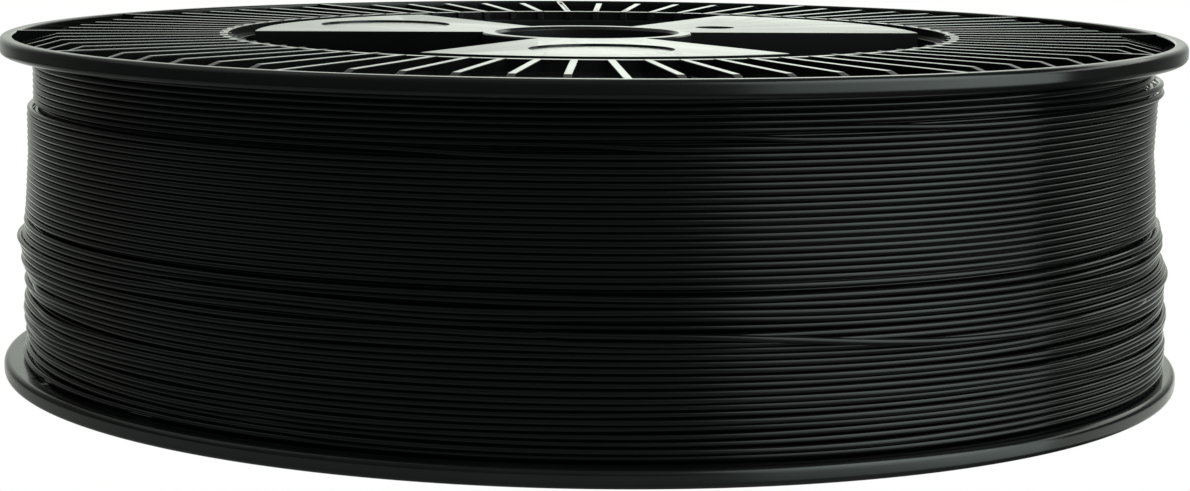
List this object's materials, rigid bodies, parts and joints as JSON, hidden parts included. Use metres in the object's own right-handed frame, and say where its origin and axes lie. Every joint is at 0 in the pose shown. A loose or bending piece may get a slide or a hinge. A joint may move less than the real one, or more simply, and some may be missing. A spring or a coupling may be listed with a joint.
{
  "type": "filament spool",
  "caption": "Wide round spool of thin plastic filament: radially ribbed flanges on a hollow barrel, with a lobed web and a central bore for a spindle.",
  "frame": {"origin": "on the spool's axis, in the plane of the lower rim that it rests on", "axes": "+Z along the spool's axis, from the lower flange to the upper one; -Y towards the lobe that faces the viewer"},
  "size_m": [0.35, 0.35, 0.1],
  "materials": {
    "flange_plastic": "black injection-moulded polystyrene, semi-gloss",
    "core_plastic": "black injection-moulded polystyrene, semi-gloss",
    "filament": "black extruded filament, gloss"
  },
  "bodies": {
    "spool": {"upper_flange": "flange_plastic", "lower_flange": "flange_plastic", "core_upper_half": "core_plastic", "core_lower_half": "core_plastic", "filament_inner_layers": "filament", "filament_outer_layer": "filament", "filament_last_layers": "filament", "filament_last_wrap": "filament", "filament_crossing_wrap": "filament", "filament_start_tail": "filament"},
    "free_end": {"filament_free_end": "filament"}
  },
  "joints": [
    {"name": "free_end_swing", "type": "hinge", "parent": "spool", "child": "free_end", "pos_m": [0.08453, 0.14642, 0.04641], "axis": [0, 0, -1], "range_deg": [0, 35], "stiffness_Nm_per_rad": 0.0002}
  ]
}
